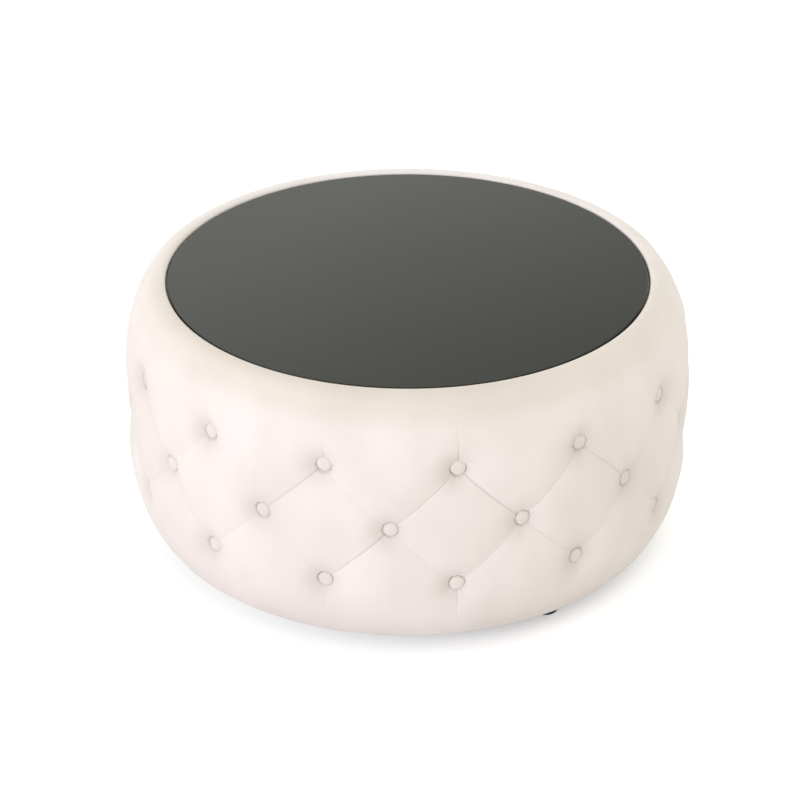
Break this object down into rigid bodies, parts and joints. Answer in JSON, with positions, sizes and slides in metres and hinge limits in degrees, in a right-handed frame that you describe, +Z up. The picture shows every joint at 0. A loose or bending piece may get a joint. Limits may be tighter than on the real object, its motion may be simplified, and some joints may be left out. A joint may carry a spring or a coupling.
{
  "type": "ottoman coffee table",
  "caption": "Low round ottoman coffee table: a diamond-tufted velvet drum on small feet, with a recessed black glass top that lifts out.",
  "frame": {"origin": "on the floor, on the drum's axis", "axes": "+Z up along the drum's axis, -Y towards the viewer of the picture, +X to the viewer's right"},
  "size_m": [0.7608, 0.7622, 0.3683],
  "materials": {
    "velvet": "soft cream velvet",
    "panel_board": "raw plywood",
    "wall_board": "raw bent hardboard",
    "timber": "raw sawn pine",
    "dust_cloth": "black non-woven cloth",
    "black_plastic": "matt black",
    "zinc": "zinc plated",
    "clear_rubber": "clear soft pad",
    "black_glass": "polished black glass"
  },
  "bodies": {
    "base": {"tufted_cover": "velvet", "buttons_upper": "velvet", "buttons_middle": "velvet", "buttons_lower": "velvet", "base_panel": "panel_board", "deck_panel": "panel_board", "wall_left": "wall_board", "wall_right": "wall_board", "post_1": "timber", "post_2": "timber", "post_3": "timber", "post_4": "timber", "post_5": "timber", "post_6": "timber", "post_7": "timber", "post_8": "timber", "brace_1": "timber", "brace_2": "timber", "dust_cover": "dust_cloth", "foot_1": "black_plastic", "foot_2": "black_plastic", "foot_3": "black_plastic", "foot_4": "black_plastic", "foot_screws": "zinc", "glass_pads": "clear_rubber"},
    "glass": {"glass_top": "black_glass"}
  },
  "joints": [
    {"name": "glass_lift", "type": "slide", "parent": "base", "child": "glass", "axis": [0, 0, 1], "range_m": [0, 0.05]}
  ]
}
